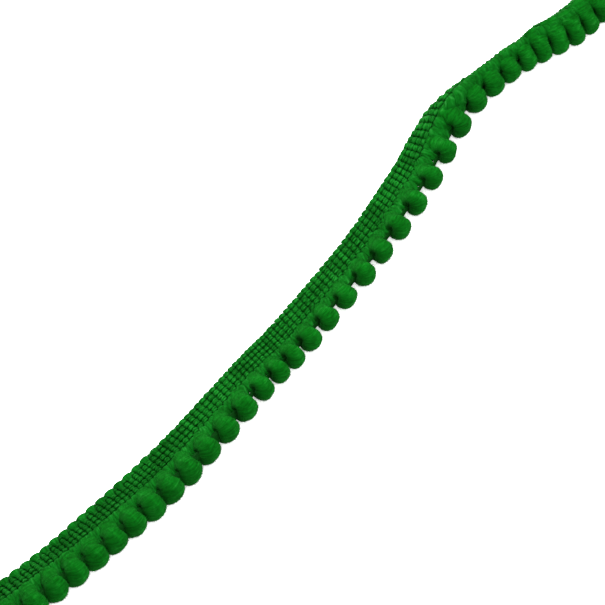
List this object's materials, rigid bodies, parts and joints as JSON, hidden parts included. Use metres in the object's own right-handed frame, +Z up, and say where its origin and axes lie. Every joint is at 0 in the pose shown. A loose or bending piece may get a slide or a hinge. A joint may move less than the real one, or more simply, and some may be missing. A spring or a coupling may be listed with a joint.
{
  "type": "pompom fringe trim",
  "caption": "Narrow knitted heading tape with a soft yarn fringe along one edge that carries a row of small round pompoms, lying as a cut length that twists near one end.",
  "frame": {"origin": "centre of the trim's plan box, on the floor that it lies on", "axes": "+X along the trim, towards its twisted end; +Y across it, from the pompoms towards the heading; +Z up from the floor"},
  "size_m": [0.2689, 0.0309, 0.0068],
  "materials": {
    "heading_yarn": "chain-stitched soft yarn with a slight sheen",
    "fringe_yarn": "soft, loosely spun bulky yarn",
    "pom_yarn": "clipped cut pile, matt and velvety"
  },
  "bodies": {
    "root": {"heading": "heading_yarn", "fringe_comb": "fringe_yarn", "pom_01": "pom_yarn", "pom_02": "pom_yarn", "pom_03": "pom_yarn", "pom_04": "pom_yarn", "pom_05": "pom_yarn", "pom_06": "pom_yarn", "pom_07": "pom_yarn", "pom_08": "pom_yarn", "pom_09": "pom_yarn", "pom_10": "pom_yarn", "pom_11": "pom_yarn", "pom_12": "pom_yarn", "pom_13": "pom_yarn", "pom_14": "pom_yarn", "pom_15": "pom_yarn", "pom_16": "pom_yarn", "pom_17": "pom_yarn", "pom_18": "pom_yarn", "pom_19": "pom_yarn", "pom_20": "pom_yarn", "pom_21": "pom_yarn", "pom_22": "pom_yarn", "pom_23": "pom_yarn", "pom_24": "pom_yarn", "pom_25": "pom_yarn", "pom_26": "pom_yarn", "pom_27": "pom_yarn", "pom_28": "pom_yarn", "pom_29": "pom_yarn", "pom_30": "pom_yarn", "pom_31": "pom_yarn", "pom_32": "pom_yarn", "pom_33": "pom_yarn", "pom_34": "pom_yarn", "pom_35": "pom_yarn", "pom_36": "pom_yarn", "pom_37": "pom_yarn", "pom_38": "pom_yarn", "pom_39": "pom_yarn"}
  },
  "joints": []
}
